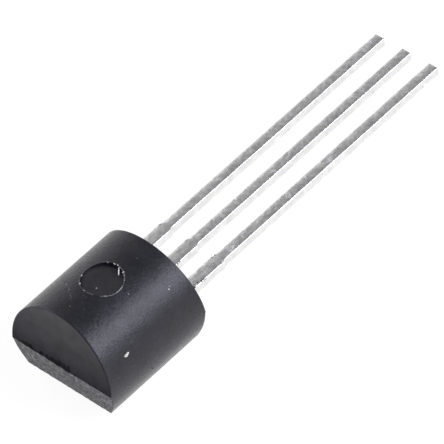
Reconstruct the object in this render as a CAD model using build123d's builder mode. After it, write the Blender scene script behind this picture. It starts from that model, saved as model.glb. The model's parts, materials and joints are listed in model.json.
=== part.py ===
from build123d import *
import os
from math import asin, atan2, cos, degrees, hypot, radians, sin, sqrt, tan

# A three-lead shunt voltage reference: a small die on a stamped lead frame, wired to the two side
# leads and moulded into a D-shaped epoxy body. It lies on its flat as it comes to rest. The leads
# outweigh the body, so it tips onto their tips and onto the lead-side edge of the flat.
# Sizes are in millimetres and angles in degrees.

# Moulded body
BODY_DIAMETER = 4.72        # round back, measured across the row of leads
BODY_DEPTH = 3.67           # from the flat to the crown of the round back
BODY_LENGTH = 4.87          # from the top end to the lead end, at the parting line
FLAT_HALF_DEPTH = 1.27      # from the flat to the parting line of the two mould halves
TOP_DRAFT_ROUND = 7.5       # slope of the top end above and below the parting line
TOP_DRAFT_FLAT = 8.0
LEAD_DRAFT_ROUND = 4.5      # slope of the lead end above and below the parting line
LEAD_DRAFT_FLAT = 9.0
BODY_EDGE_RADIUS = 0.05

# Marks that the mould leaves on the body
PIN_MARK_DIAMETER = 1.55    # ejector pin, on the crown of the round back
PIN_MARK_FROM_TOP = 2.46
PIN_MARK_SINK = 0.02        # how far the floor of the mark lies below its lowest rim
GATE_WIDTH = 1.15           # broken gate, on the top end against the parting line
GATE_HEIGHT = 0.24
GATE_STUB = 0.06
GATE_OFFSET = -0.15         # off the middle of the top end

# Leads, stamped from one sheet
LEAD_PITCH = 1.27
LEAD_LENGTH = 13.48         # outside the body
LEAD_WIDTH = 0.41
LEAD_THICKNESS = 0.36
LEAD_EDGE_RADIUS = 0.02
ROOT_WIDTH = 0.52           # wider stretch next to the body, where the dam bar was trimmed off
ROOT_LENGTH = 1.85
SHOULDER_LENGTH = 0.20

# Lead frame inside the body
DIE_PAD_WIDTH = 1.50
DIE_PAD_LENGTH = 1.90
DIE_PAD_NECK = 0.90         # from the lead end of the body to the die pad
POST_NECK = 0.80            # from the lead end of the body to a bond post
POST_LENGTH = 0.85
POST_SHOULDER = 0.13        # how far a post reaches out past its lead
FRAME_GAP = 0.20            # between the die pad and a post

# Die and its connections
DIE_SIDE = 1.00
DIE_THICKNESS = 0.25
ATTACH_THICKNESS = 0.025
ATTACH_MARGIN = 0.05        # how far the die attach spreads past the die
WIRE_DIAMETER = 0.03
WIRE_LOOP_HEIGHT = 0.20
WIRE_STITCH_RUN = 0.14
BALL_DIAMETER = 0.08
BALL_HEIGHT = 0.02
STITCH_DIAMETER = 0.07
STITCH_HEIGHT = 0.01
BOND_INSET = 0.16           # from a bond on the die to the edges of the die

# Places along the body's depth, measured from the axis of the round back
body_radius = BODY_DIAMETER / 2
flat_level = body_radius - BODY_DEPTH
parting_level = flat_level + FLAT_HALF_DEPTH
frame_level = parting_level + LEAD_THICKNESS
die_base_level = frame_level + ATTACH_THICKNESS
die_top_level = die_base_level + DIE_THICKNESS
wire_start_level = die_top_level + BALL_HEIGHT / 2
wire_landing_level = frame_level + STITCH_HEIGHT / 2 + WIRE_DIAMETER / 2
pin_mark_radius = PIN_MARK_DIAMETER / 2
pin_mark_level = sqrt(body_radius**2 - pin_mark_radius**2) - PIN_MARK_SINK

# Places across and along the lead frame, measured from the middle lead and the body's lead end
post_inner = DIE_PAD_WIDTH / 2 + FRAME_GAP
post_outer = LEAD_PITCH + ROOT_WIDTH / 2 + POST_SHOULDER
post_centre = (post_inner + post_outer) / 2
die_pad_end = DIE_PAD_NECK + DIE_PAD_LENGTH
die_centre = DIE_PAD_NECK + DIE_PAD_LENGTH / 2
bond_across = DIE_SIDE / 2 - BOND_INSET
bond_along = -die_centre + DIE_SIDE / 2 - BOND_INSET
stitch_along = -POST_NECK - POST_LENGTH / 2

# Rest: a table that touches the rounded lead-side edge of the flat and the rounded lead tips
edge_centre_along = (
    -FLAT_HALF_DEPTH * tan(radians(LEAD_DRAFT_FLAT))
    - BODY_EDGE_RADIUS / tan(radians(90 + LEAD_DRAFT_FLAT) / 2)
)
edge_centre_level = flat_level + BODY_EDGE_RADIUS
tip_centre_along = LEAD_LENGTH - LEAD_EDGE_RADIUS
tip_centre_level = parting_level + LEAD_EDGE_RADIUS
reach = tip_centre_along - edge_centre_along
rise = tip_centre_level - edge_centre_level
tilt = atan2(rise, reach) + asin((BODY_EDGE_RADIUS - LEAD_EDGE_RADIUS) / hypot(reach, rise))

# The part's own directions as it lies
across = Vector(1, 0, 0)
lengthwise = Vector(0, cos(tilt), -sin(tilt))
upright = Vector(0, sin(tilt), cos(tilt))

# The origin is on the table, under the middle of the whole part. The furthest points along Y are
# the foot of the broken gate and the upper edge of the lead tips.
gate_end_y = -(BODY_LENGTH + GATE_STUB) * cos(tilt) + parting_level * sin(tilt)
lead_end_y = (
    tip_centre_along * cos(tilt) + (frame_level - LEAD_EDGE_RADIUS) * sin(tilt) + LEAD_EDGE_RADIUS
)
axis_origin = Vector(
    0,
    -(gate_end_y + lead_end_y) / 2,
    BODY_EDGE_RADIUS + edge_centre_along * sin(tilt) - edge_centre_level * cos(tilt),
)

# Sketch planes: plan is seen from the round back, section from the lead tips, side from +X.
# They meet where the axis of the round back leaves the body's lead end.
plan = Plane(origin=axis_origin, x_dir=across, z_dir=upright)
section = Plane(origin=axis_origin, x_dir=across, z_dir=lengthwise * -1)
side = Plane(origin=axis_origin, x_dir=lengthwise, z_dir=across)


def root_and_lead(middle):
    """Draws one lead outside the body, with its wider root, on a plan sketch."""
    root = ROOT_WIDTH / 2
    half = LEAD_WIDTH / 2
    Polygon(
        (middle - root, 0),
        (middle - root, ROOT_LENGTH),
        (middle - half, ROOT_LENGTH + SHOULDER_LENGTH),
        (middle - half, LEAD_LENGTH),
        (middle + half, LEAD_LENGTH),
        (middle + half, ROOT_LENGTH + SHOULDER_LENGTH),
        (middle + root, ROOT_LENGTH),
        (middle + root, 0),
        align=None,
    )


def strip(left, right, near, far):
    """Draws a straight stretch of the lead frame, from near to far behind the body's lead end."""
    with Locations(((left + right) / 2, -(near + far) / 2)):
        Rectangle(right - left, far - near)


def round_lead_edges(lead):
    """Rounds the edges of a lead's two broad faces."""
    broad_faces = lead.faces().filter_by(Axis(axis_origin, upright))
    fillet(broad_faces.edges(), LEAD_EDGE_RADIUS)


def build_side_lead(hand):
    """A side lead with its bond post. hand is -1 for the lead at -X and 1 for the one at +X."""
    middle = hand * LEAD_PITCH
    with BuildPart() as lead:
        with BuildSketch(plan.offset(parting_level)):
            root_and_lead(middle)
            strip(middle - ROOT_WIDTH / 2, middle + ROOT_WIDTH / 2, 0, POST_NECK)
            post_sides = sorted((hand * post_inner, hand * post_outer))
            strip(*post_sides, POST_NECK, POST_NECK + POST_LENGTH)
        extrude(amount=LEAD_THICKNESS)
        round_lead_edges(lead)
    return lead


def build_bond_wire(hand):
    """A bond wire from the die's top to the post at -X or +X: ball, loop and stitch."""
    ball = Vector(hand * bond_across, bond_along)
    stitch = Vector(hand * post_centre, stitch_along)
    landing = stitch - (stitch - ball).normalized() * WIRE_STITCH_RUN
    corners = (
        (ball.X, ball.Y, wire_start_level),
        (ball.X, ball.Y, die_top_level + WIRE_LOOP_HEIGHT),
        (landing.X, landing.Y, wire_landing_level),
        (stitch.X, stitch.Y, wire_landing_level),
    )
    with BuildPart() as wire:
        with BuildLine() as route:
            FilletPolyline(
                *[plan.from_local_coords(corner) for corner in corners],
                radius=(WIRE_LOOP_HEIGHT / 3, WIRE_STITCH_RUN / 2),
            )
        with BuildSketch(Plane(origin=route.line @ 0, z_dir=route.line % 0)):
            Circle(WIRE_DIAMETER / 2)
        sweep(path=route.line)
        with BuildSketch(plan.offset(die_top_level)):
            with Locations((ball.X, ball.Y)):
                Circle(BALL_DIAMETER / 2)
        extrude(amount=BALL_HEIGHT)
        with BuildSketch(plan.offset(frame_level)):
            with Locations((stitch.X, stitch.Y)):
                Circle(STITCH_DIAMETER / 2)
        extrude(amount=STITCH_HEIGHT)
    return wire


# Leads: reference and cathode at the sides, and the anode in the middle with the die pad
reference_lead = build_side_lead(-1)
cathode_lead = build_side_lead(1)

with BuildPart() as anode_lead:
    with BuildSketch(plan.offset(parting_level)):
        root_and_lead(0)
        strip(-ROOT_WIDTH / 2, ROOT_WIDTH / 2, 0, DIE_PAD_NECK)
        strip(-DIE_PAD_WIDTH / 2, DIE_PAD_WIDTH / 2, DIE_PAD_NECK, die_pad_end)
    extrude(amount=LEAD_THICKNESS)
    round_lead_edges(anode_lead)

# Die, the film that holds it to the die pad, and the two bond wires
with BuildPart() as die_attach:
    with BuildSketch(plan.offset(frame_level)):
        with Locations((0, -die_centre)):
            Rectangle(DIE_SIDE + 2 * ATTACH_MARGIN, DIE_SIDE + 2 * ATTACH_MARGIN)
    extrude(amount=ATTACH_THICKNESS)

with BuildPart() as die:
    with BuildSketch(plan.offset(die_base_level)):
        with Locations((0, -die_centre)):
            Rectangle(DIE_SIDE, DIE_SIDE)
    extrude(amount=DIE_THICKNESS)

reference_wire = build_bond_wire(-1)
cathode_wire = build_bond_wire(1)

# Body: a D-shaped bar whose two ends slope away from the parting line
with BuildPart() as body:
    with BuildSketch(section):
        Circle(body_radius)
        with Locations((0, flat_level)):
            Rectangle(
                BODY_DIAMETER, BODY_DIAMETER, align=(Align.CENTER, Align.MAX), mode=Mode.SUBTRACT
            )
    extrude(amount=BODY_LENGTH)
    round_half = body_radius - parting_level
    with BuildSketch(side):
        with BuildLine():
            Polyline(
                (0, parting_level),
                (-2 * round_half * tan(radians(LEAD_DRAFT_ROUND)), parting_level + 2 * round_half),
                (
                    -BODY_LENGTH + 2 * round_half * tan(radians(TOP_DRAFT_ROUND)),
                    parting_level + 2 * round_half,
                ),
                (-BODY_LENGTH, parting_level),
                (
                    -BODY_LENGTH + 2 * FLAT_HALF_DEPTH * tan(radians(TOP_DRAFT_FLAT)),
                    parting_level - 2 * FLAT_HALF_DEPTH,
                ),
                (
                    -2 * FLAT_HALF_DEPTH * tan(radians(LEAD_DRAFT_FLAT)),
                    parting_level - 2 * FLAT_HALF_DEPTH,
                ),
                close=True,
            )
        make_face()
    extrude(amount=BODY_DIAMETER, both=True, mode=Mode.INTERSECT)

    # The two edges on the parting line stay crisp, and the others are rounded.
    parting_edges = body.edges().filter_by_position(
        Axis(axis_origin, upright), parting_level - BODY_EDGE_RADIUS, parting_level + BODY_EDGE_RADIUS
    )
    fillet(body.edges() - parting_edges, BODY_EDGE_RADIUS)

    with BuildSketch(plan.offset(pin_mark_level)):
        with Locations((0, -BODY_LENGTH + PIN_MARK_FROM_TOP)):
            Circle(pin_mark_radius)
    extrude(amount=BODY_DEPTH, mode=Mode.SUBTRACT)

    with BuildSketch(section.offset(BODY_LENGTH - BODY_EDGE_RADIUS)):
        with Locations((GATE_OFFSET, parting_level)):
            Rectangle(GATE_WIDTH, GATE_HEIGHT, align=(Align.CENTER, Align.MIN))
    extrude(amount=BODY_EDGE_RADIUS + GATE_STUB)

    # The moulding closes round everything that it holds.
    held = (anode_lead, reference_lead, cathode_lead, die_attach, die, reference_wire, cathode_wire)
    for piece in held:
        add(piece.part, mode=Mode.SUBTRACT)

os.makedirs("parts", exist_ok=True)

body.part.label = "body"
export_step(body.part, "parts/body.step")

anode_lead.part.label = "anode_lead"
export_step(anode_lead.part, "parts/anode_lead.step")

reference_lead.part.label = "reference_lead"
export_step(reference_lead.part, "parts/reference_lead.step")

cathode_lead.part.label = "cathode_lead"
export_step(cathode_lead.part, "parts/cathode_lead.step")

die_attach.part.label = "die_attach"
export_step(die_attach.part, "parts/die_attach.step")

die.part.label = "die"
export_step(die.part, "parts/die.step")

reference_wire.part.label = "reference_wire"
export_step(reference_wire.part, "parts/reference_wire.step")

cathode_wire.part.label = "cathode_wire"
export_step(cathode_wire.part, "parts/cathode_wire.step")
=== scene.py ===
import json
from math import acos, asin, atan2, ceil, cos, pi, radians, sin, sqrt, tan

import bmesh
import bpy
import numpy as np
from mathutils import Matrix, Vector, noise


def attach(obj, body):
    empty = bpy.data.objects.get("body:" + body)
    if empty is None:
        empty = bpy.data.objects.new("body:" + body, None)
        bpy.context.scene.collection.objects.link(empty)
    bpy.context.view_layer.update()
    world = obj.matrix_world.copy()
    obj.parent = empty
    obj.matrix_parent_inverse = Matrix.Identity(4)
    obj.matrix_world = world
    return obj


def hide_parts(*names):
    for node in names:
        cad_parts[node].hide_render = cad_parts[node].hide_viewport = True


# A three-lead shunt voltage reference lying on its flat. The moulded body and the leads are modelled
# here in the part's own directions, in millimetres: x across the leads, y along them towards the
# tips, z from the flat to the round back, with zero at the root of the middle lead.

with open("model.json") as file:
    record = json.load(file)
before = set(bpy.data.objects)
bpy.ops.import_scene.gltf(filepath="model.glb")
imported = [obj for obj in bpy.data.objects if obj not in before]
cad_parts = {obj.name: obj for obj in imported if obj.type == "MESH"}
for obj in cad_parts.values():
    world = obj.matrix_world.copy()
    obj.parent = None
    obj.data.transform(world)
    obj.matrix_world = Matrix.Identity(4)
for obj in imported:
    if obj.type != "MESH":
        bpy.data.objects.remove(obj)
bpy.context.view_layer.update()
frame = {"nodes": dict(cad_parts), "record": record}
MM = 0.001

# Sizes that the frame's boxes don't give
TOP_DRAFT_ROUND = radians(7.5)
TOP_DRAFT_FLAT = radians(8.0)
LEAD_DRAFT_ROUND = radians(4.5)
LEAD_DRAFT_FLAT = radians(9.0)
EDGE_RADIUS = 0.04
FLAT_CORNER_RADIUS = 0.07
MISMATCH = 0.012            # the flat half of the mould is this much smaller
PIN_MARK_RADIUS = 0.765
PIN_MARK_X = 0.055
PIN_MARK_FROM_TOP = 2.46
PIN_MARK_SINK = 0.02
GATE_MIDDLE = -0.15
GATE_WIDTH = 1.15
GATE_HEIGHT = 0.24
GATE_STUB = 0.055
LEAD_WIDTH = 0.41
ROOT_WIDTH = 0.52
ROOT_LENGTH = 1.85
SHOULDER_LENGTH = 0.20
LEAD_EDGE_RADIUS = 0.02


# ---------------------------------------------------------------- the part's own directions

mounts = {m["name"]: m for m in frame["record"]["mounts"]}
lengthwise = Vector(mounts["anode_pin"]["axis"]).normalized()
upright = -Vector(mounts["flat"]["axis"]).normalized()
across = lengthwise.cross(upright)
origin = Vector(mounts["anode_pin"]["pos_m"])
OWN_TO_ROW = Matrix((across, lengthwise, upright)).transposed()


def own_vertices(node):
    """The vertices of a CAD node in the part's own directions, in millimetres."""
    co = np.array([v.co for v in frame["nodes"][node].data.vertices], float)
    return (co - np.array(origin)) @ np.array(OWN_TO_ROW) / MM


def to_row(points):
    """Points in the part's own directions, in millimetres, as points of the frame in metres."""
    return np.asarray(points, float) @ np.array(OWN_TO_ROW).T * MM + np.array(origin)


body_vertices = own_vertices("body")
body_low = body_vertices.min(0)
body_high = body_vertices.max(0)
RADIUS = (body_high[0] - body_low[0]) / 2
AXIS_LEVEL = body_high[2] - RADIUS
FLAT_LEVEL = body_low[2]
BODY_LENGTH = -body_vertices[abs(body_vertices[:, 0]) > 0.7 * RADIUS][:, 1].min()

anode_vertices = own_vertices("anode_lead")
PARTING_LEVEL = anode_vertices[:, 2].min()
FRAME_LEVEL = anode_vertices[:, 2].max()
LEAD_LENGTH = anode_vertices[:, 1].max()
PITCH = Vector(mounts["cathode_pin"]["pos_m"]).x / MM
PIN_MARK_Y = -BODY_LENGTH + PIN_MARK_FROM_TOP
PIN_MARK_LEVEL = AXIS_LEVEL + sqrt(RADIUS**2 - PIN_MARK_RADIUS**2) - PIN_MARK_SINK


# ---------------------------------------------------------------- small helpers

def wobble(points, per_mm, octaves=3, seed=0.0):
    """Fractal noise from about -1 to 1 at each point, with per_mm lumps in a millimetre."""
    shift = Vector((seed * 7.31, seed * 3.77, seed * 5.13))
    return np.array([
        noise.fractal(Vector(p) * per_mm + shift, 0.8, 2.0, octaves) for p in points
    ])


def smooth_step(low, high, value):
    t = np.clip((value - low) / (high - low), 0, 1)
    return t * t * (3 - 2 * t)


def make_piece(name, points, faces, materials, face_materials=None, sharp=radians(38)):
    """A mesh piece from points in the part's own directions. It rides on the one body."""
    mesh = bpy.data.meshes.new(name)
    mesh.from_pydata([tuple(p) for p in to_row(points)], [], faces)
    for material in materials:
        mesh.materials.append(material)
    if face_materials is not None:
        mesh.polygons.foreach_set("material_index", np.asarray(face_materials, np.int32))
    bm = bmesh.new()
    bm.from_mesh(mesh)
    bmesh.ops.remove_doubles(bm, verts=bm.verts, dist=1e-8)
    bmesh.ops.recalc_face_normals(bm, faces=bm.faces)
    bm.to_mesh(mesh)
    bm.free()
    mesh.polygons.foreach_set("use_smooth", [True] * len(mesh.polygons))
    mesh.set_sharp_from_angle(angle=sharp)
    mesh.update()
    piece = bpy.data.objects.new(name, mesh)
    bpy.context.scene.collection.objects.link(piece)
    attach(piece, "root")
    return piece


# ---------------------------------------------------------------- materials

class Nodes:
    """A short way to write a material's node tree."""

    def __init__(self, name):
        self.material = bpy.data.materials.new(name)
        self.material.use_nodes = True
        self.tree = self.material.node_tree
        self.tree.nodes.clear()
        self.output = self.add("ShaderNodeOutputMaterial")
        self.shader = self.add("ShaderNodeBsdfPrincipled")
        self.join(self.shader.outputs[0], self.output.inputs["Surface"])
        self.place = self.add("ShaderNodeTexCoord").outputs["Object"]

    def add(self, kind, **settings):
        node = self.tree.nodes.new(kind)
        for key, value in settings.items():
            setattr(node, key, value)
        return node

    def join(self, source, target):
        self.tree.links.new(source, target)

    def set(self, **values):
        for key, value in values.items():
            self.shader.inputs[key.replace("_", " ")].default_value = value

    def noise(self, per_mm, detail=3.0, roughness=0.5, distortion=0.0):
        node = self.add("ShaderNodeTexNoise")
        node.inputs["Scale"].default_value = per_mm / MM
        node.inputs["Detail"].default_value = detail
        node.inputs["Roughness"].default_value = roughness
        node.inputs["Distortion"].default_value = distortion
        self.join(self.place, node.inputs["Vector"])
        return node.outputs["Fac"]

    def ramp(self, source, stops):
        node = self.add("ShaderNodeValToRGB")
        elements = node.color_ramp.elements
        while len(elements) < len(stops):
            elements.new(0.5)
        for element, (position, value) in zip(elements, stops):
            element.position = position
            if isinstance(value, (int, float)):
                value = (value, value, value)
            element.color = (*value, 1)
        self.join(source, node.inputs["Fac"])
        return node.outputs["Color"]

    def mix(self, share, first, second, blend="MIX"):
        node = self.add("ShaderNodeMix", data_type="RGBA", blend_type=blend)
        for socket, value in ((node.inputs[0], share), (node.inputs[6], first), (node.inputs[7], second)):
            if isinstance(value, bpy.types.NodeSocket):
                self.join(value, socket)
            elif isinstance(value, (int, float)):
                socket.default_value = value
            else:
                socket.default_value = (*value, 1)
        return node.outputs[2]

    def bump(self, height, distance_mm, strength=1.0, under=None):
        node = self.add("ShaderNodeBump")
        node.inputs["Distance"].default_value = distance_mm * MM
        node.inputs["Strength"].default_value = strength
        self.join(height, node.inputs["Height"])
        if under is not None:
            self.join(under, node.inputs["Normal"])
        return node.outputs["Normal"]

    def finish(self, color=None, roughness=None, normal=None):
        for key, value in (("Base Color", color), ("Roughness", roughness), ("Normal", normal)):
            if value is not None:
                self.join(value, self.shader.inputs[key])
        return self.material


def satin_epoxy():
    """Moulding compound off a polished mould: near black, with a soft sheen and pale grains."""
    n = Nodes("epoxy_satin")
    n.set(IOR=1.35)
    cloud = n.noise(1.1, 4, 0.55)
    grain = n.noise(26, 3, 0.6)
    color = n.ramp(cloud, ((0.3, (0.0160, 0.0160, 0.0205)), (0.7, (0.0240, 0.0240, 0.0300))))
    color = n.mix(n.ramp(grain, ((0.56, 0.0), (0.74, 0.6))), color, (0.080, 0.080, 0.092))
    rough = n.ramp(n.noise(2.4, 5, 0.6), ((0.3, 0.22), (0.7, 0.31)))
    coarse = n.bump(n.noise(5.5, 3, 0.5), 0.007)
    fine = n.bump(n.noise(15, 5, 0.75), 0.010, under=coarse)
    return n.finish(color, rough, fine)


def end_epoxy_painted_shade():
    """The satin compound on the top end. Its sheen fading from the crown down to the parting line is
    painted shade: it dims the face where the table it mirrors lies in the body's shadow.
    """
    n = Nodes("epoxy_end_painted_shade")
    n.set(IOR=1.5)
    split = n.add("ShaderNodeSeparateXYZ")
    n.join(n.place, split.inputs[0])
    # painted shade: the specular level falls from 0.38 at the crown to 0.02 near the parting line, standing
    # in for the shadowed table this face mirrors
    height = n.add("ShaderNodeMapRange")
    height.inputs["From Min"].default_value = 1.5 * MM
    height.inputs["From Max"].default_value = 4.0 * MM
    height.inputs["To Min"].default_value = 0.02
    height.inputs["To Max"].default_value = 0.38
    n.join(split.outputs["Z"], height.inputs["Value"])
    n.join(height.outputs[0], n.shader.inputs["Specular IOR Level"])
    cloud = n.noise(1.0, 5, 0.62)
    color = n.ramp(cloud, ((0.34, (0.0075, 0.0075, 0.0120)), (0.66, (0.0230, 0.0220, 0.0310))))
    rough = n.ramp(n.noise(2.4, 5, 0.6), ((0.3, 0.36), (0.7, 0.50)))
    return n.finish(color, rough, n.bump(n.noise(14, 5, 0.7), 0.006))


def rough_epoxy_grain_and_painted_reflection():
    """The same compound off a spark-eroded mould face, grainy and paler. The paleness is partly painted
    reflection of the white table that these downward faces mirror.
    """
    n = Nodes("epoxy_rough_grain_and_painted_reflection")
    n.set(IOR=1.5)
    grain = n.noise(7.5, 6, 0.72, 0.4)
    # the pale stops are real grain and partly painted reflection: they lift the face as if it mirrored the
    # bright table below
    color = n.ramp(grain, (
        (0.34, (0.020, 0.020, 0.024)), (0.5, (0.092, 0.092, 0.100)), (0.66, (0.31, 0.31, 0.32)),
    ))
    rough = n.ramp(n.noise(8, 3, 0.5), ((0.3, 0.48), (0.7, 0.7)))
    coarse = n.bump(n.noise(9, 5, 0.7), 0.03)
    fine = n.bump(n.noise(30, 3, 0.6), 0.008, under=coarse)
    return n.finish(color, rough, fine)


def pin_epoxy():
    """The floor of the ejector pin mark: smoother and darker than the rest."""
    n = Nodes("epoxy_pin_mark")
    n.set(IOR=1.5)
    color = n.ramp(n.noise(3, 4, 0.6), ((0.3, (0.0090, 0.0090, 0.0140)), (0.7, (0.0145, 0.0145, 0.0205))))
    rough = n.ramp(n.noise(6, 4, 0.6), ((0.3, 0.40), (0.7, 0.52)))
    normal = n.bump(n.noise(12, 4, 0.6), 0.003)
    return n.finish(color, rough, normal)


def broken_epoxy():
    """Torn compound at the gate, dark and pitted."""
    n = Nodes("epoxy_broken")
    n.set(IOR=1.45, Specular_IOR_Level=0.12)
    color = n.ramp(n.noise(14, 4, 0.7), ((0.35, (0.005, 0.005, 0.006)), (0.75, (0.026, 0.026, 0.029))))
    rough = n.ramp(n.noise(9, 3, 0.5), ((0.3, 0.6), (0.7, 0.85)))
    normal = n.bump(n.noise(16, 5, 0.7), 0.04)
    return n.finish(color, rough, normal)


def flash_epoxy():
    """Thin flash of compound, which breaks pale."""
    n = Nodes("epoxy_flash")
    n.set(IOR=1.5)
    color = n.ramp(n.noise(9, 3, 0.6), (
        (0.35, (0.05, 0.05, 0.055)), (0.55, (0.11, 0.11, 0.115)), (0.7, (0.30, 0.30, 0.29)),
    ))
    rough = n.ramp(n.noise(12, 2, 0.5), ((0.3, 0.35), (0.7, 0.55)))
    normal = n.bump(n.noise(22, 3, 0.6), 0.006)
    return n.finish(color, rough, normal)


def dust():
    """Pale dust and chips that cling to the body."""
    n = Nodes("dust")
    color = n.ramp(n.noise(16, 3, 0.5), ((0.35, (0.62, 0.63, 0.60)), (0.65, (0.92, 0.93, 0.88))))
    return n.finish(color, n.ramp(n.noise(20, 2, 0.5), ((0.3, 0.5), (0.7, 0.8))))


def tin_plate():
    """Dull tin plating, mottled and a little scuffed along the lead."""
    n = Nodes("tin_plate")
    n.set(Metallic=1.0)
    blotch = n.noise(3.2, 5, 0.62, 0.6)
    speck = n.noise(13, 4, 0.65)
    color = n.ramp(blotch, (
        (0.30, (0.69, 0.69, 0.68)), (0.50, (0.78, 0.78, 0.77)), (0.72, (0.88, 0.88, 0.87)),
    ))
    color = n.mix(n.ramp(speck, ((0.58, 0.0), (0.72, 0.5))), color, (0.98, 0.98, 0.97))
    color = n.mix(n.ramp(speck, ((0.28, 0.5), (0.42, 0.0))), color, (0.62, 0.62, 0.60))
    rough = n.ramp(n.noise(7, 4, 0.6), ((0.3, 0.30), (0.7, 0.46)))
    scuff = n.ramp(n.noise(1.7, 3, 0.6), ((0.60, 0.0), (0.74, 0.8)))
    color = n.mix(scuff, color, (0.95, 0.95, 0.94))
    rough = n.mix(scuff, rough, (0.70, 0.70, 0.70))
    coarse = n.bump(n.noise(3.4, 3, 0.5), 0.034)
    fine = n.bump(n.noise(22, 4, 0.65), 0.0045, under=coarse)
    return n.finish(color, rough, fine)


def silicon():
    """The die's polished silicon."""
    n = Nodes("silicon")
    n.set(Metallic=0.6, IOR=3.4)
    color = n.ramp(n.noise(9, 3, 0.5), ((0.3, (0.10, 0.11, 0.15)), (0.7, (0.20, 0.20, 0.24))))
    return n.finish(color, n.ramp(n.noise(20, 2, 0.5), ((0.3, 0.12), (0.7, 0.25))))


def silver_epoxy():
    """The silver-filled film that bonds the die."""
    n = Nodes("silver_epoxy")
    n.set(Metallic=0.4)
    color = n.ramp(n.noise(30, 4, 0.6), ((0.3, (0.42, 0.41, 0.39)), (0.7, (0.62, 0.61, 0.58))))
    rough = n.ramp(n.noise(30, 2, 0.5), ((0.3, 0.45), (0.7, 0.7)))
    return n.finish(color, rough, n.bump(n.noise(40, 3, 0.6), 0.004))


def gold():
    """The bond wires' gold."""
    n = Nodes("gold_wire")
    n.set(Metallic=1.0)
    color = n.ramp(n.noise(40, 2, 0.5), ((0.3, (0.80, 0.55, 0.20)), (0.7, (0.90, 0.66, 0.28))))
    return n.finish(color, n.ramp(n.noise(50, 2, 0.5), ((0.3, 0.18), (0.7, 0.32))))


# ---------------------------------------------------------------- moulded body

ROUND_STEP = 0.045
FLAT_STEP = 0.08
PATCH_HALF = 0.95           # half the square about the ejector pin mark
PATCH_CELLS = 46
FACE_RINGS = 54
EDGE_STEPS = 5
SATIN, ROUGH, PIN, BROKEN, FLASH, DUST, END = range(7)


def section_stations():
    """(x, z, outward x, outward z) round the D-shaped section, from the middle of the flat."""
    corner_z = FLAT_LEVEL - AXIS_LEVEL + FLAT_CORNER_RADIUS
    corner_x = sqrt((RADIUS - FLAT_CORNER_RADIUS) ** 2 - corner_z**2)
    corner_angle = atan2(corner_z, corner_x)
    parting_angle = asin((PARTING_LEVEL - AXIS_LEVEL) / RADIUS)
    patch_angle = acos(PATCH_HALF / RADIUS)
    right = []
    for x in np.linspace(0, corner_x, ceil(corner_x / FLAT_STEP), endpoint=False):
        right.append((x, FLAT_LEVEL - AXIS_LEVEL, 0, -1))
    for a in np.linspace(-pi / 2, corner_angle, 6, endpoint=False):
        right.append((
            corner_x + FLAT_CORNER_RADIUS * cos(a), corner_z + FLAT_CORNER_RADIUS * sin(a), cos(a), sin(a)
        ))
    ledge = RADIUS - MISMATCH
    ledge_angle = parting_angle - MISMATCH / RADIUS
    steps = ceil(RADIUS * (ledge_angle - corner_angle) / ROUND_STEP)
    for a in np.linspace(corner_angle, ledge_angle, steps):
        inset = MISMATCH * smooth_step(corner_angle, corner_angle + 0.1, a)
        right.append(((RADIUS - inset) * cos(a), (RADIUS - inset) * sin(a), cos(a), sin(a)))
    right[-1] = (ledge * cos(ledge_angle), ledge * sin(ledge_angle), cos(ledge_angle), sin(ledge_angle))
    sweep = patch_angle - parting_angle
    for a in np.linspace(parting_angle, patch_angle, ceil(RADIUS * sweep / ROUND_STEP), endpoint=False):
        right.append((RADIUS * cos(a), RADIUS * sin(a), cos(a), sin(a)))
    crown = []
    for a in np.linspace(patch_angle, pi - patch_angle, PATCH_CELLS + 1):
        crown.append((RADIUS * cos(a), RADIUS * sin(a), cos(a), sin(a)))
    left = [(-x, z, -nx, nz) for x, z, nx, nz in reversed(right[1:])]
    stations = np.array(right + crown + left)
    stations[:, 1] += AXIS_LEVEL
    first = len(right)
    return stations, first, first + PATCH_CELLS


def top_end(z):
    """Where the top end's face lies at a height above the flat."""
    above = z - PARTING_LEVEL
    return -BODY_LENGTH + np.where(above > 0, above * tan(TOP_DRAFT_ROUND), -above * tan(TOP_DRAFT_FLAT))


def lead_end(z):
    """Where the lead end's face lies at a height above the flat."""
    above = z - PARTING_LEVEL
    return -np.where(above > 0, above * tan(LEAD_DRAFT_ROUND), -above * tan(LEAD_DRAFT_FLAT))


def end_rings(stations, face, direction):
    """Rings from the side over the rounded edge and across an end's face. The top end's direction is -1."""
    x, z, nx, nz = stations.T
    rings = []
    for step in range(EDGE_STEPS + 1):
        a = pi / 2 * step / EDGE_STEPS
        inset = EDGE_RADIUS * (1 - cos(a))
        px, pz = x - nx * inset, z - nz * inset
        y = face(pz) - direction * EDGE_RADIUS * (1 - sin(a))
        rings.append(np.stack([px, y, pz], -1))
    edge = rings[-1]
    for share in np.linspace(1, 0, FACE_RINGS, endpoint=False)[1:]:
        px = edge[:, 0] * share
        pz = PARTING_LEVEL + (edge[:, 2] - PARTING_LEVEL) * share
        rings.append(np.stack([px, face(pz), pz], -1))
    return rings


def side_stops(stations):
    """For each ring between the two rounded edges, its y at every station, and the hole's first ring."""
    z = stations[:, 1]
    near = top_end(z) + EDGE_RADIUS
    far = lead_end(z) - EDGE_RADIUS
    low, high = PIN_MARK_Y - PATCH_HALF, PIN_MARK_Y + PATCH_HALF
    rings = []
    for t in np.linspace(0, 1, 26, endpoint=False)[1:]:
        rings.append(near + (low - near) * t)
    for y in np.linspace(low, high, PATCH_CELLS + 1):
        rings.append(np.full_like(z, y))
    for t in np.linspace(0, 1, 32, endpoint=False)[1:]:
        rings.append(high + (far - high) * t)
    return rings, 25


def pin_mark_profile():
    """Rings from outside in: radius, lift over the round back (None on the mark's floor), material."""
    r = PIN_MARK_RADIUS
    return (
        (r + 0.075, 0.0, SATIN), (r + 0.050, 0.001, SATIN), (r + 0.034, 0.004, SATIN),
        (r + 0.022, 0.55, FLASH), (r + 0.010, 1.0, FLASH), (r - 0.002, 0.85, FLASH),
        (r - 0.006, None, PIN), (r - 0.03, None, PIN),
    )


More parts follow.
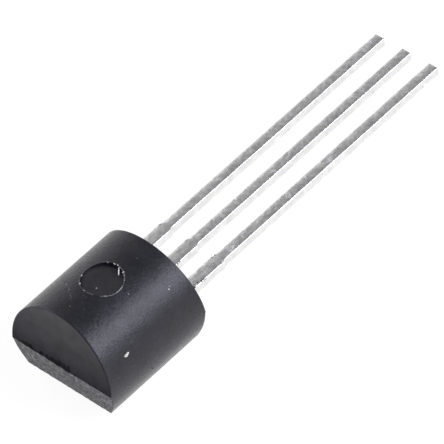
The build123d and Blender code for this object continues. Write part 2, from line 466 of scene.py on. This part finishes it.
# How much flash stands at the pin mark's rim, by the turn in degrees from +x towards the lead end
FLASH_TURNS = (0, 30, 55, 62, 125, 135, 190, 196, 203, 210, 234, 239, 244, 280, 300, 330, 360)
FLASH_STRENGTHS = (
    0.6, 0.55, 0.6, 1.0, 0.9, 0.08, 0.08, 0.7, 0.7, 0.25, 0.25, 0.8, 0.25, 0.45, 0.6, 0.5, 0.6
)
LEAST_FLASH = 0.17          # where there is less, the rim has the satin skin


def add_pin_mark(points, faces, kinds, corners):
    """Fills the square hole in the round back. corners holds the indices of the hole's rim, in order."""
    rim = np.array([points[i] for i in corners])
    dx, dy = rim[:, 0] - PIN_MARK_X, rim[:, 1] - PIN_MARK_Y
    angle = np.arctan2(dy, dx)
    rim_radius = np.hypot(dx, dy)
    strength = np.interp(np.degrees(angle) % 360, FLASH_TURNS, FLASH_STRENGTHS)
    broken = np.clip(wobble([(cos(a) * 3, sin(a) * 3, 0) for a in angle], 1.6, 3, 4) + 0.5, 0, 1)
    ring_height = 0.004 + 0.030 * strength * broken
    previous = list(corners)

    def add_ring(radius, heights, kind):
        nonlocal previous
        start = len(points)
        for a, r, h in zip(angle, radius, heights):
            points.append((PIN_MARK_X + r * cos(a), PIN_MARK_Y + r * sin(a), h))
        ring = list(range(start, start + len(angle)))
        for i in range(len(ring)):
            j = (i + 1) % len(ring)
            faces.append((previous[i], previous[j], ring[j], ring[i]))
            bare = kind == FLASH and strength[i] * broken[i] < LEAST_FLASH
            kinds.append(SATIN if bare else kind)
        previous = ring

    def back_height(radius):
        x = PIN_MARK_X + radius * np.cos(angle)
        return AXIS_LEVEL + np.sqrt(RADIUS**2 - x**2)

    outer = PIN_MARK_RADIUS + 0.095
    for share in (0.25, 0.5, 0.75, 1.0):
        radius = rim_radius + (outer - rim_radius) * share
        add_ring(radius, back_height(radius), SATIN)
    for radius, lift, kind in pin_mark_profile():
        radius = np.full(len(angle), radius)
        if lift is None:
            add_ring(radius, np.full(len(angle), PIN_MARK_LEVEL), kind)
        else:
            add_ring(radius, back_height(radius) + lift * ring_height, kind)
    for radius in np.linspace(PIN_MARK_RADIUS - 0.07, 0.04, 17):
        level = np.full(len(angle), PIN_MARK_LEVEL)
        add_ring(np.full(len(angle), radius), level, PIN)
    centre = len(points)
    points.append((PIN_MARK_X, PIN_MARK_Y, PIN_MARK_LEVEL))
    for i in range(len(previous)):
        faces.append((previous[i], previous[(i + 1) % len(previous)], centre))
        kinds.append(PIN)


def build_body_shell():
    """The D-shaped moulding as one closed skin: points, faces and the material of each face."""
    stations, crown_first, crown_last = section_stations()
    count = len(stations)
    side, lead_in = side_stops(stations)
    top = end_rings(stations, top_end, -1)
    lead = end_rings(stations, lead_end, 1)
    rings = list(reversed(top))
    first_side = len(rings)
    for y in side:
        rings.append(np.stack([stations[:, 0], y, stations[:, 1]], -1))
    patch_low = first_side + lead_in
    patch_high = patch_low + PATCH_CELLS
    rings += lead
    points = [tuple(p) for ring in rings for p in ring]
    faces, kinds = [], []
    for k in range(len(rings) - 1):
        for i in range(count):
            if patch_low <= k < patch_high and crown_first <= i < crown_last:
                continue
            j = (i + 1) % count
            faces.append((k * count + i, k * count + j, (k + 1) * count + j, (k + 1) * count + i))
            kinds.append(SATIN)
    for base, face in ((0, top_end), ((len(rings) - 1) * count, lead_end)):
        middle = len(points)
        points.append((0, float(face(np.array(PARTING_LEVEL))), PARTING_LEVEL))
        for i in range(count):
            faces.append((base + i, base + (i + 1) % count, middle))
            kinds.append(SATIN)
    rim = [patch_low * count + i for i in range(crown_first, crown_last)]
    rim += [k * count + crown_last for k in range(patch_low, patch_high)]
    rim += [patch_high * count + i for i in range(crown_last, crown_first, -1)]
    rim += [k * count + crown_first for k in range(patch_high, patch_low, -1)]
    add_pin_mark(points, faces, kinds, rim)
    used = np.unique(np.concatenate([np.array(f) for f in faces]))
    renumber = -np.ones(len(points), int)
    renumber[used] = np.arange(len(used))
    points = np.array(points)[used]
    faces = [tuple(int(renumber[i]) for i in f) for f in faces]
    return points, faces, np.array(kinds)


# How high a dark, uneven band reaches over the parting line on the top end, along x
DARK_BAND_PLACES = (-2.2, -1.9, -1.7, -1.45, -1.3, -1.05, -0.95, -0.85, -0.72, 0.45, 0.8, 2.2)
DARK_BAND_HEIGHTS = (0.0, 0.16, 0.22, 0.20, 0.05, 0.06, 0.17, 0.08, 0.10, 0.06, 0.03, 0.0)


def gate_height(x):
    """How high the broken gate, tallest at its +x end, or the dark band beside it reaches at x."""
    along = np.stack([x, 0 * x, 0 * x], -1)
    rise = smooth_step(-0.7, 0.35, x)
    ragged = wobble(along, 5.0, 3, 6)
    gate = GATE_HEIGHT * np.clip(0.40 + 0.70 * rise + 0.5 * ragged, 0.15, 1.05)
    flash = np.interp(x, DARK_BAND_PLACES, DARK_BAND_HEIGHTS) * np.clip(0.75 + 0.6 * ragged, 0.1, 1.2)
    return np.where(abs(x - GATE_MIDDLE) < GATE_WIDTH / 2, gate, flash)


def wear_body(points):
    """Moves the skin's points by the roughness that the mould and the broken gate leave."""
    moved = points.copy()
    x, y, z = points.T
    on_top = smooth_step(0.05, 0.0, y - top_end(z))
    on_lead = smooth_step(0.05, 0.0, lead_end(z) - y)
    flat_half = smooth_step(0.0, -0.03, z - PARTING_LEVEL)
    within = smooth_step(0.0, 0.08, RADIUS - np.hypot(x, z - AXIS_LEVEL))
    grain = wobble(points, 9, 4, 1)
    for mask, outward in ((on_top, -1), (on_lead, 1)):
        moved[:, 1] += outward * mask * flat_half * within * 0.012 * (grain - 0.5)
    gate_x = smooth_step(GATE_WIDTH / 2 + 0.03, GATE_WIDTH / 2 - 0.05, abs(x - GATE_MIDDLE))
    gate_top = gate_height(x)
    gate_z = smooth_step(gate_top + 0.03, gate_top - 0.02, z - PARTING_LEVEL) * (z > PARTING_LEVEL - 1e-6)
    torn = 0.45 + 0.55 * wobble(points, 7, 4, 2)
    torn_depth = np.where(gate_x > 0, gate_x * GATE_STUB, 0.018)
    moved[:, 1] -= on_top * gate_z * torn_depth * np.clip(torn, -0.9, 1)
    peel = wobble(points, 2.2, 3, 3) * 0.0025
    radial = np.stack([x, 0 * x, z - AXIS_LEVEL], -1)
    length = np.maximum(np.linalg.norm(radial, axis=1), 1e-6)
    on_side = (1 - on_top) * (1 - on_lead) * smooth_step(RADIUS - 0.05, RADIUS - 0.01, length)
    moved += radial / length[:, None] * (on_side * (peel - 0.0035))[:, None]
    return moved


def body_kinds(points, faces, kinds):
    """The material of each face of the moulding, by where it lies."""
    centres = np.array([points[list(f)].mean(0) for f in faces])
    x, y, z = centres.T
    on_top = y - top_end(z) < 0.02
    on_lead = lead_end(z) - y < 0.02
    flat_half = z < PARTING_LEVEL
    on_flat = z < FLAT_LEVEL + 0.01
    kinds = kinds.copy()
    kinds[(on_top | on_lead) & flat_half] = ROUGH
    kinds[on_flat] = ROUGH
    kinds[on_top & ~flat_half] = END
    in_gate = on_top & ~flat_half & (z < PARTING_LEVEL + gate_height(x))
    kinds[in_gate] = BROKEN
    return kinds


def on_round_back(angle, y, lift=0.0):
    """A point on the round back, at an angle in degrees from +x over the crown."""
    a = radians(angle)
    return np.array([(RADIUS + lift) * cos(a), y, AXIS_LEVEL + (RADIUS + lift) * sin(a)])


def add_crumb(points, faces, kinds, centre, sizes, kind, seed, toward=(0, 1, 0)):
    """A small uneven lump of compound or dust. The middle one of its sizes runs toward a direction."""
    turn = np.array(Vector((0, 1, 0)).rotation_difference(Vector(toward)).to_matrix())
    bm = bmesh.new()
    bmesh.ops.create_icosphere(bm, subdivisions=2, radius=1.0)
    start = len(points)
    for v in bm.verts:
        swell = 1 + 0.35 * noise.noise(v.co * 1.7 + Vector((seed * 3.1, seed, seed * 2.3)))
        points.append(tuple(turn @ (np.array(v.co) * swell * np.array(sizes)) + centre))
    for f in bm.faces:
        faces.append(tuple(start + v.index for v in f.verts))
        kinds.append(kind)
    bm.free()


def add_streak(points, faces, kinds, stops, width, kind):
    """A thin raised smear over the round back through (angle, y) stops, broken up along its length."""
    chances = np.random.RandomState(int(stops[0][0] * 10))
    for (a0, y0), (a1, y1) in zip(stops, stops[1:]):
        length = sqrt((radians(a1 - a0) * RADIUS) ** 2 + (y1 - y0) ** 2)
        for t in np.arange(0, 1, width * 1.6 / length):
            if chances.rand() < 0.35:
                continue
            size = width * (0.5 + 0.7 * chances.rand())
            place = on_round_back(a0 + (a1 - a0) * t, y0 + (y1 - y0) * t, -0.4 * size)
            add_crumb(points, faces, kinds, place, (size, size, size * 0.7), kind, chances.rand() * 9)


def add_root_residue(points, faces, kinds, start, end, spread, count, seed):
    """Compound that crept out along a lead, scattered about the line between two places."""
    chances = np.random.RandomState(seed)
    start, end = np.array(start), np.array(end)
    for _ in range(count):
        along, wide, tone = chances.rand(3)
        place = start + (end - start) * along + spread * (chances.rand(3) - 0.5) * (1, 1.6, 0.7)
        # each lump's middle lies on or in the lead, so none floats beside it
        middle = PITCH * round(place[0] / PITCH)
        place[0] = min(max(place[0], middle - ROOT_WIDTH / 2 + 0.012), middle + ROOT_WIDTH / 2 - 0.012)
        place[2] = min(max(place[2], PARTING_LEVEL + 0.01), FRAME_LEVEL - 0.01)
        size = (0.011 + 0.016 * wide, 0.015 + 0.028 * wide, 0.011 + 0.014 * wide)
        kind = DUST if tone > 0.86 else FLASH if tone > 0.5 else BROKEN
        add_crumb(points, faces, kinds, place, size, kind, 9 * wide)


def add_body_crumbs(points, faces, kinds):
    """The specks on the round back, the flecks at the pin mark, and compound left at the lead roots."""
    for angle, y, wide, long, high, kind in (
        (23.6, -3.69, 0.045, 0.092, 0.048, DUST), (24.6, -3.60, 0.045, 0.040, 0.040, DUST),
        (42.3, -0.96, 0.030, 0.026, 0.022, DUST), (44.0, -0.86, 0.022, 0.020, 0.016, DUST),
        (45.1, -0.65, 0.014, 0.020, 0.012, FLASH), (61.8, -2.24, 0.020, 0.016, 0.014, DUST),
        (80.4, -0.98, 0.018, 0.016, 0.012, FLASH), (-11.8, -2.77, 0.026, 0.018, 0.016, FLASH),
        (101.4, -3.55, 0.026, 0.018, 0.016, FLASH), (97.0, -3.66, 0.030, 0.018, 0.016, FLASH),
        (77.7, -3.80, 0.018, 0.014, 0.012, FLASH),
    ):
        add_crumb(points, faces, kinds, on_round_back(angle, y), (wide, long, high), kind, angle)
    for stops in (
        ((116.6, -3.10), (106.1, -3.35), (97.0, -3.62)), ((117.6, -3.13), (107.0, -3.38)),
        ((96.0, -3.62), (92.3, -3.82)), ((87.9, -3.36), (84.5, -3.37)), ((89.5, -3.98), (88.0, -4.02)),
    ):
        add_streak(points, faces, kinds, stops, 0.021, FLASH)
    for turn, inward, sizes, kind, seed in (
        (60, -0.01, (0.03, 0.04, 0.03), DUST, 2), (50, -0.01, (0.02, 0.05, 0.025), FLASH, 8),
        (200, 0.0, (0.026, 0.032, 0.03), DUST, 3), (232, 0.0, (0.024, 0.036, 0.025), DUST, 4),
        (118, 0.0, (0.050, 0.014, 0.025), DUST, 5), (97, 0.01, (0.045, 0.018, 0.030), DUST, 6),
        (86, -0.01, (0.034, 0.020, 0.025), DUST, 9), (76, 0.0, (0.040, 0.016, 0.02), DUST, 10),
    ):
        a = radians(turn)
        x = PIN_MARK_X + (PIN_MARK_RADIUS - inward) * cos(a)
        y = PIN_MARK_Y + (PIN_MARK_RADIUS - inward) * sin(a)
        z = AXIS_LEVEL + sqrt(RADIUS**2 - x**2) - 0.012
        add_crumb(points, faces, kinds, np.array([x, y, z]), sizes, kind, seed)
    add_crumb(points, faces, kinds, np.array([0.13, -2.78, PIN_MARK_LEVEL]), (0.034, 0.014, 0.012), DUST, 7)
    # torn compound that stands on the top end along the parting line: from x, to x, height, lumps
    chances = np.random.RandomState(11)
    for low, high, rise, count in (
        (-1.85, -1.35, 0.17, 34), (-1.05, -0.85, 0.13, 12), (-0.75, 0.42, 0.15, 60),
    ):
        for _ in range(count):
            x, up, wide = low + (high - low) * chances.rand(), chances.rand(), chances.rand()
            z = PARTING_LEVEL + 0.02 + rise * up * up
            place = np.array([x, float(top_end(np.array(z))), z])
            sizes = (0.018 + 0.035 * wide, 0.014 + 0.014 * wide, 0.014 + 0.022 * wide)
            add_crumb(points, faces, kinds, place, sizes, BROKEN, 9 * wide)
    # a thread of flash that hangs into the mark
    thread = ((0.12, -1.63, 0.09), (0.19, -1.71, 0.09), (0.26, -1.79, 0.10), (0.32, -1.86, 0.075))
    for number, (x, y, lift) in enumerate(thread):
        place = np.array([x + 0.02, y, PIN_MARK_LEVEL + lift])
        add_crumb(points, faces, kinds, place, (0.022, 0.075, 0.026), DUST, number, (0.24, -0.28, -0.03))
    root = ROOT_WIDTH / 2
    top = FRAME_LEVEL - 0.01
    for start, end, spread, count in (
        ((PITCH + 0.09, 0.36, top), (PITCH + root - 0.02, 0.92, top), 0.08, 46),
        ((PITCH + root, 0.88, top - 0.06), (PITCH + root + 0.02, 0.96, top - 0.02), 0.04, 10),
        ((PITCH + root, 0.00, 0.08), (PITCH + root, 0.45, 0.24), 0.12, 44),
        ((PITCH - root, 0.00, 0.08), (PITCH - root, 0.25, 0.20), 0.08, 12),
        ((0.19, 0.80, top), (root - 0.01, 1.00, top - 0.02), 0.06, 16),
        ((root, 0.00, 0.08), (root, 0.75, 0.26), 0.10, 40),
        ((-root, 0.00, 0.08), (-root, 0.30, 0.20), 0.08, 12),
        ((-PITCH + root, 0.00, 0.08), (-PITCH + root, 0.45, 0.22), 0.10, 24),
        ((-PITCH - root, 0.00, 0.08), (-PITCH - root, 0.20, 0.20), 0.08, 10),
    ):
        add_root_residue(points, faces, kinds, start, end, spread, count, len(points) % 997)


def build_body():
    """The moulded body as one piece, with its wear, crumbs and materials."""
    points, faces, kinds = build_body_shell()
    kinds = body_kinds(points, faces, kinds)
    points = [tuple(p) for p in wear_body(points)]
    kinds = list(kinds)
    add_body_crumbs(points, faces, kinds)
    materials = [satin_epoxy(), rough_epoxy_grain_and_painted_reflection(), pin_epoxy(), broken_epoxy(), flash_epoxy(), dust()]
    materials.append(end_epoxy_painted_shade())
    piece = make_piece("moulded_body", points, faces, materials, kinds)
    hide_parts("body")
    return piece


# ---------------------------------------------------------------- leads

LEAD_STEP = 0.035
TOP_BULGE = 0.018           # the tinned top is a little convex


def lead_half_section():
    """Unit directions round a rounded bar: (x side, z side, corner x, corner z), anticlockwise."""
    stations = []
    corners = ((1, 1, 0), (-1, 1, 90), (-1, -1, 180), (1, -1, 270))
    for k, (sx, sz, start) in enumerate(corners):
        for step in range(5):
            a = radians(start + 90 * step / 4)
            stations.append((sx, sz, cos(a), sin(a)))
        nx, nz, _ = corners[(k + 1) % 4]
        for share in (0.2, 0.4, 0.6, 0.8):
            a = radians(start + 90)
            stations.append((sx + (nx - sx) * share, sz + (nz - sz) * share, cos(a), sin(a)))
    return np.array(stations)


def build_lead(node, middle, material, seed):
    """One lead with what it has inside the body, from the CAD node's own outline."""
    vertices = own_vertices(node)
    inner_end = vertices[:, 1].min()
    # where the inner piece begins to widen, and how far it reaches to each side
    inside = vertices[vertices[:, 1] < inner_end + 0.3]
    pad_left, pad_right = inside[:, 0].min(), inside[:, 0].max()
    wide = vertices[(vertices[:, 0] > pad_right - 0.06) | (vertices[:, 0] < pad_left + 0.06)]
    wide = wide[wide[:, 1] < -0.3]
    pad_start = wide[:, 1].max()
    half_root, half = ROOT_WIDTH / 2, LEAD_WIDTH / 2
    stops = [inner_end + LEAD_EDGE_RADIUS * (1 - cos(a)) for a in np.linspace(0, pi / 2, 4)]
    stops += list(np.linspace(inner_end + 0.1, pad_start, 14))
    stops += list(np.linspace(pad_start + 0.002, 0, 16))
    stops += list(np.linspace(0, LEAD_LENGTH, ceil(LEAD_LENGTH / LEAD_STEP))[1:-1])
    stops += [LEAD_LENGTH - LEAD_EDGE_RADIUS * (1 - cos(a)) for a in np.linspace(pi / 2, 0, 4)]
    section = lead_half_section()
    thick = FRAME_LEVEL - PARTING_LEVEL
    level = (FRAME_LEVEL + PARTING_LEVEL) / 2
    rings = []
    for y in stops:
        if y <= pad_start:
            left, right = pad_left, pad_right
        elif y < ROOT_LENGTH:
            left, right = middle - half_root, middle + half_root
        else:
            share = float(smooth_step(ROOT_LENGTH, ROOT_LENGTH + SHOULDER_LENGTH, y))
            width = half_root + (half - half_root) * share
            left, right = middle - width, middle + width
        end_gap = min(y - inner_end, LEAD_LENGTH - y)
        past = max(LEAD_EDGE_RADIUS - end_gap, 0)
        shrink = LEAD_EDGE_RADIUS - sqrt(max(LEAD_EDGE_RADIUS**2 - past**2, 0))
        cx, hx = (left + right) / 2, (right - left) / 2 - LEAD_EDGE_RADIUS
        hz = thick / 2 - LEAD_EDGE_RADIUS
        reach = LEAD_EDGE_RADIUS - shrink
        x = cx + section[:, 0] * hx + section[:, 2] * reach
        z = level + section[:, 1] * hz + section[:, 3] * reach
        bulge = TOP_BULGE * float(smooth_step(LEAD_LENGTH, LEAD_LENGTH - 0.1, y))
        z += np.where(section[:, 1] > 0, bulge * (0.5 - abs((x - cx) / (hx + reach)) ** 3), 0)
        rings.append(np.stack([x, np.full(len(x), y), z], -1))
    points = np.concatenate(rings)
    outward = np.tile(np.stack([section[:, 2], 0 * section[:, 0], section[:, 3]], -1), (len(rings), 1))
    y = points[:, 1]
    outside = smooth_step(0.0, 0.1, y) * smooth_step(LEAD_LENGTH, LEAD_LENGTH - 0.08, y)
    lump = wobble(points, 2.2, 4, seed) * 0.006 + wobble(points, 11, 3, seed + 0.5) * 0.0015
    side = np.sign(points[:, 0] - middle)
    nick = 0.05 * np.exp(-((y - ROOT_LENGTH - 0.03) / 0.07) ** 2) * abs(outward[:, 0])
    nick *= np.where(side < 0, *BURRS[node])
    points = points + outward * (outside * (lump * (outward[:, 2] > -0.1) - 0.0006 + nick))[:, None]
    count = len(section)
    faces = []
    for k in range(len(rings) - 1):
        for i in range(count):
            j = (i + 1) % count
            faces.append((k * count + i, k * count + j, (k + 1) * count + j, (k + 1) * count + i))
    faces.append(tuple(range(count)))
    faces.append(tuple((len(rings) - 1) * count + i for i in range(count)))
    piece = make_piece(node + "_tinned", points, faces, [material])
    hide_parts(node)
    return piece


# How large the trimmed dam bar's burr is on the -x and +x side of each lead
BURRS = {"reference_lead": (0.3, 0.2), "anode_lead": (0.25, 0.3), "cathode_lead": (1.2, 0.4)}


# ---------------------------------------------------------------- camera, light and floor

CAMERA_AZIMUTH = radians(126.441)   # from +Y towards +X, where the camera stands
CAMERA_ELEVATION = radians(49.808)
CAMERA_ROLL = radians(-15.688)
CAMERA_DISTANCE = 174.1
CAMERA_TARGET = (0.086, 3.374, 0.0)
CAMERA_LENS = 402.65
SENSOR = 36.0
FLOOR_ALBEDO = 0.86
FLOOR_GLOW = 1.12
# How much of the floor each kind of ray sees as plain glow, without shadow
GLOW_SHARES = (("Is Camera Ray", 0.82), ("Is Glossy Ray", 0.95), ("Is Transmission Ray", 0.82))
# The sky's brightness by the upward part of the direction
SKY_STOPS = ((0.0, 1.2), (0.22, 0.9), (0.45, 0.36), (0.72, 0.24), (0.92, 0.18))


def direction(azimuth, elevation):
    """The direction from the part to something that stands at an azimuth and an elevation."""
    return Vector((sin(azimuth) * cos(elevation), cos(azimuth) * cos(elevation), sin(elevation)))


def add_camera():
    data = bpy.data.cameras.new("camera")
    data.lens = CAMERA_LENS
    data.sensor_width = SENSOR
    data.clip_start = 0.001
    camera = bpy.data.objects.new("camera", data)
    bpy.context.scene.collection.objects.link(camera)
    back = direction(CAMERA_AZIMUTH, CAMERA_ELEVATION)
    level_right = Vector((0, 0, 1)).cross(back).normalized()
    level_up = back.cross(level_right)
    right = level_right * cos(CAMERA_ROLL) + level_up * sin(CAMERA_ROLL)
    up = back.cross(right)
    target = Vector(to_row([CAMERA_TARGET])[0])
    turn = Matrix((right, up, back)).transposed().to_4x4()
    camera.matrix_world = Matrix.Translation(target + back * CAMERA_DISTANCE * MM) @ turn
    bpy.context.scene.camera = camera


def add_softbox(name, azimuth, elevation, distance, width, height, radiance, color=(1, 1, 1)):
    """A flat lamp that faces the part. Its brightness is given as it looks from the part."""
    data = bpy.data.lights.new(name, "AREA")
    data.shape = "RECTANGLE"
    data.size = width
    data.size_y = height
    data.energy = radiance * pi * width * height
    data.color = color
    lamp = bpy.data.objects.new(name, data)
    bpy.context.scene.collection.objects.link(lamp)
    out = direction(radians(azimuth), radians(elevation))
    lamp.location = out * distance
    lamp.rotation_euler = out.to_track_quat("Z", "Y").to_euler()


def add_floor():
    """A pale table. The camera and shiny surfaces see it nearly white, with the part's shadow on it."""
    bm = bmesh.new()
    bmesh.ops.create_grid(bm, x_segments=8, y_segments=8, size=1.5)
    mesh = bpy.data.meshes.new("floor")
    bm.to_mesh(mesh)
    bm.free()
    floor = bpy.data.objects.new("floor", mesh)
    bpy.context.scene.collection.objects.link(floor)
    material = bpy.data.materials.new("white_table")
    material.use_nodes = True
    tree = material.node_tree
    tree.nodes.clear()
    output = tree.nodes.new("ShaderNodeOutputMaterial")
    cloth = tree.nodes.new("ShaderNodeBsdfDiffuse")
    cloth.inputs["Color"].default_value = (FLOOR_ALBEDO, FLOOR_ALBEDO, FLOOR_ALBEDO, 1)
    glow = tree.nodes.new("ShaderNodeEmission")
    glow.inputs["Color"].default_value = (1, 1, 1, 1)
    glow.inputs["Strength"].default_value = FLOOR_GLOW
    rays = tree.nodes.new("ShaderNodeLightPath")
    shares = []
    for output_name, share in GLOW_SHARES:
        times = tree.nodes.new("ShaderNodeMath")
        times.operation = "MULTIPLY"
        times.inputs[1].default_value = share
        tree.links.new(rays.outputs[output_name], times.inputs[0])
        shares.append(times.outputs[0])
    total = shares[0]
    for other in shares[1:]:
        most = tree.nodes.new("ShaderNodeMath")
        most.operation = "MAXIMUM"
        tree.links.new(total, most.inputs[0])
        tree.links.new(other, most.inputs[1])
        total = most.outputs[0]
    mix = tree.nodes.new("ShaderNodeMixShader")
    tree.links.new(total, mix.inputs[0])
    tree.links.new(cloth.outputs[0], mix.inputs[1])
    tree.links.new(glow.outputs[0], mix.inputs[2])
    tree.links.new(mix.outputs[0], output.inputs["Surface"])
    mesh.materials.append(material)


def set_world():
    """Soft light from all round, paler at the horizon than overhead. The camera sees plain white."""
    world = bpy.data.worlds.new("studio")
    bpy.context.scene.world = world
    world.use_nodes = True
    tree = world.node_tree
    tree.nodes.clear()
    output = tree.nodes.new("ShaderNodeOutputWorld")
    place = tree.nodes.new("ShaderNodeTexCoord")
    split = tree.nodes.new("ShaderNodeSeparateXYZ")
    tree.links.new(place.outputs["Generated"], split.inputs[0])
    ramp = tree.nodes.new("ShaderNodeValToRGB")
    elements = ramp.color_ramp.elements
    while len(elements) < len(SKY_STOPS):
        elements.new(0.5)
    for element, (position, value) in zip(elements, SKY_STOPS):
        element.position = position
        element.color = (value, value, value * 1.02, 1)
    tree.links.new(split.outputs["Z"], ramp.inputs[0])
    light = tree.nodes.new("ShaderNodeBackground")
    tree.links.new(ramp.outputs[0], light.inputs["Color"])
    plain = tree.nodes.new("ShaderNodeBackground")
    plain.inputs["Color"].default_value = (1, 1, 1, 1)
    rays = tree.nodes.new("ShaderNodeLightPath")
    mix = tree.nodes.new("ShaderNodeMixShader")
    tree.links.new(rays.outputs["Is Camera Ray"], mix.inputs[0])
    tree.links.new(light.outputs[0], mix.inputs[1])
    tree.links.new(plain.outputs[0], mix.inputs[2])
    tree.links.new(mix.outputs[0], output.inputs["Surface"])


add_camera()
set_world()
add_floor()
add_softbox("key_softbox", 57, 33, 0.25, 0.16, 0.125, 8.3, (0.98, 0.97, 1.13))
add_softbox("left_softbox", -88, 36, 0.30, 0.14, 0.12, 4.6)

build_body()
plating = tin_plate()
build_lead("reference_lead", -PITCH, plating, 21)
build_lead("anode_lead", 0.0, plating, 22)
build_lead("cathode_lead", PITCH, plating, 23)

# the CAD nodes inside the body keep their meshes and get their materials
wire_gold = gold()
for node, material in (
    ("die", silicon()), ("die_attach", silver_epoxy()),
    ("reference_wire", wire_gold), ("cathode_wire", wire_gold),
):
    mesh = frame["nodes"][node].data
    mesh.materials.clear()
    mesh.materials.append(material)

scene = bpy.context.scene
scene.view_settings.view_transform = "Standard"
